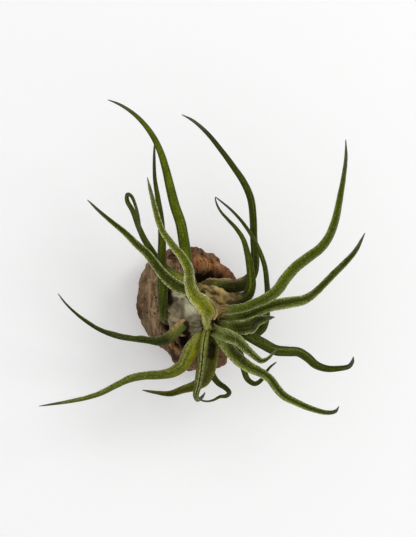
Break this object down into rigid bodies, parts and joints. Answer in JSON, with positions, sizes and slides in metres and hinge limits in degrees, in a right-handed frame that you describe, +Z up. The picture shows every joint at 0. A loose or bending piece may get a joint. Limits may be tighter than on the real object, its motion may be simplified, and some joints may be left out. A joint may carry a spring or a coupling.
{
  "type": "air plant on a lump of wood",
  "caption": "Air plant with long, twisting, channelled leaves that arch out of a small papery bulb, grown on a knobbly lump of wood with a flat foot.",
  "frame": {"origin": "middle of the flat spot under the lump of wood, where it stands", "axes": "+Z up, +Y to the side that the longest leaves arch over, which is the top of the picture, +X to the picture's right"},
  "size_m": [0.1499, 0.1443, 0.1052],
  "materials": {
    "leaf_bright": "living leaf, bright olive green with pale scales along its edges, satin",
    "leaf_dark": "living leaf, dark green, satin",
    "papery_bulb": "leaf bases, pale greyish green, matte",
    "dry_sheath_grey": "dry papery leaf base, grey, matte",
    "dry_sheath_tan": "dry crinkled leaf base, tan, matte",
    "wood": "weathered bark and reddish brown knobs, rough"
  },
  "bodies": {
    "root": {"bulb_heart": "papery_bulb", "leaf_pale_middle": "leaf_bright", "leaf_short_folded": "leaf_bright", "leaf_short_hooked": "leaf_bright", "leaf_folded_front": "leaf_bright", "leaf_lower_left_long": "leaf_bright", "leaf_right_upper_long": "leaf_bright", "leaf_right_long": "leaf_bright", "leaf_lower_right_long": "leaf_bright", "leaf_broad_front": "leaf_dark", "leaf_inner_thin": "leaf_dark", "leaf_upper_left": "leaf_dark", "leaf_left_low": "leaf_dark", "leaf_right_low": "leaf_dark", "leaf_top_right_long": "leaf_dark", "leaf_top_long": "leaf_dark", "leaf_left_upright": "leaf_dark", "leaf_bottom_curl": "leaf_dark", "leaf_small_hook": "leaf_dark", "leaf_outer_thin": "leaf_dark", "leaf_looped": "leaf_dark", "dry_sheath_left": "dry_sheath_grey", "dry_sheath_right": "dry_sheath_tan", "wood_lump": "wood"}
  },
  "joints": []
}
